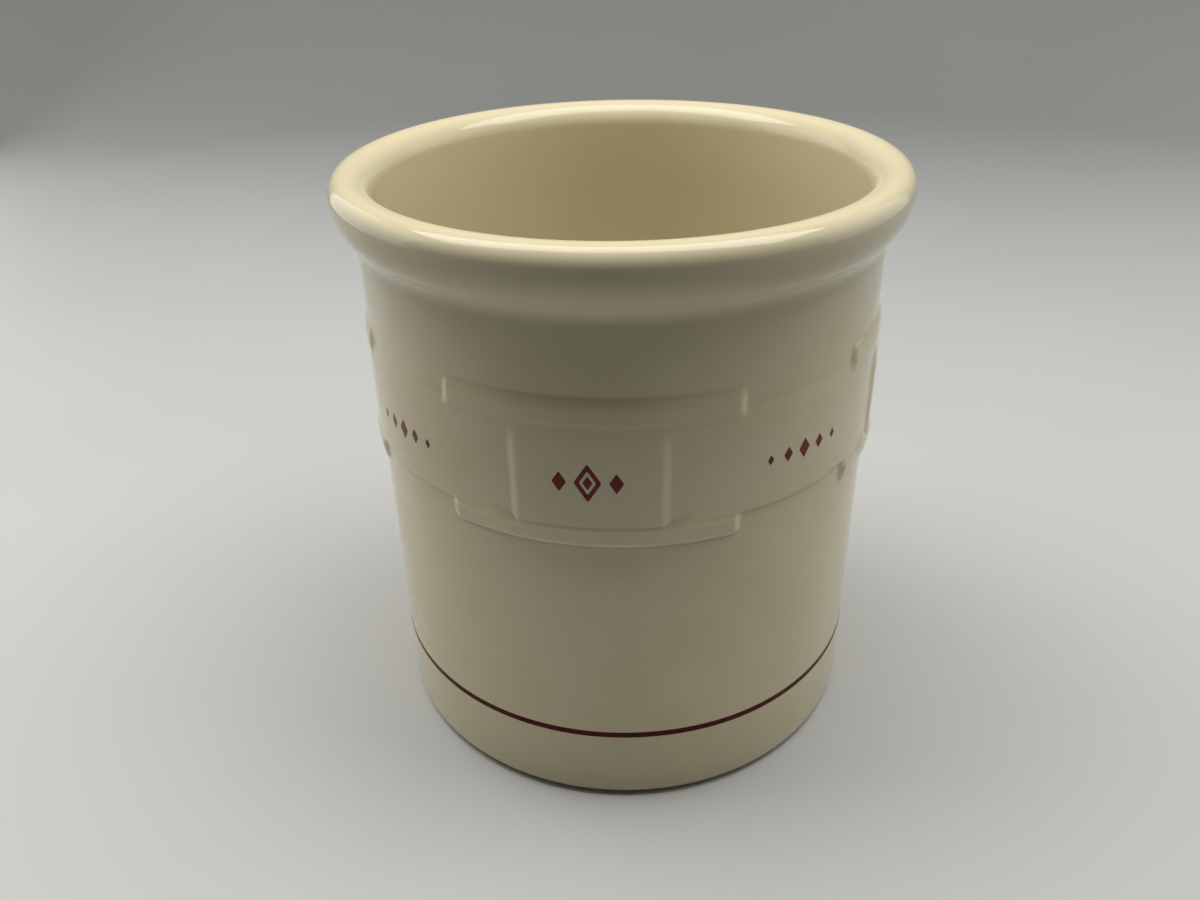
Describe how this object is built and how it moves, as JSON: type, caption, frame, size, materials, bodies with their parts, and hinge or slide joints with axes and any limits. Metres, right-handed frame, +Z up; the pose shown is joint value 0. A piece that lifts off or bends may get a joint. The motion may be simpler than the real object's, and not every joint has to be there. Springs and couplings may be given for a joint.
{
  "type": "utensil crock",
  "caption": "Straight-sided glazed stoneware crock with a rolled collar rim and a raised woven belt, for holding kitchen utensils upright.",
  "frame": {"origin": "centre of the foot, on the surface that the crock stands on", "axes": "+Z up along the crock's axis; -Y through the middle of one woven panel"},
  "size_m": [0.16, 0.16, 0.1715],
  "materials": {
    "ivory_glaze": "glossy ivory stoneware glaze",
    "burgundy_transfer": "fired-on burgundy transfer under clear glaze"
  },
  "bodies": {
    "root": {"crock_body": "ivory_glaze", "base_stripe": "burgundy_transfer", "panel_motif_1": "burgundy_transfer", "panel_motif_2": "burgundy_transfer", "panel_motif_3": "burgundy_transfer", "panel_motif_4": "burgundy_transfer", "belt_motif_1": "burgundy_transfer", "belt_motif_2": "burgundy_transfer", "belt_motif_3": "burgundy_transfer", "belt_motif_4": "burgundy_transfer"}
  },
  "joints": []
}
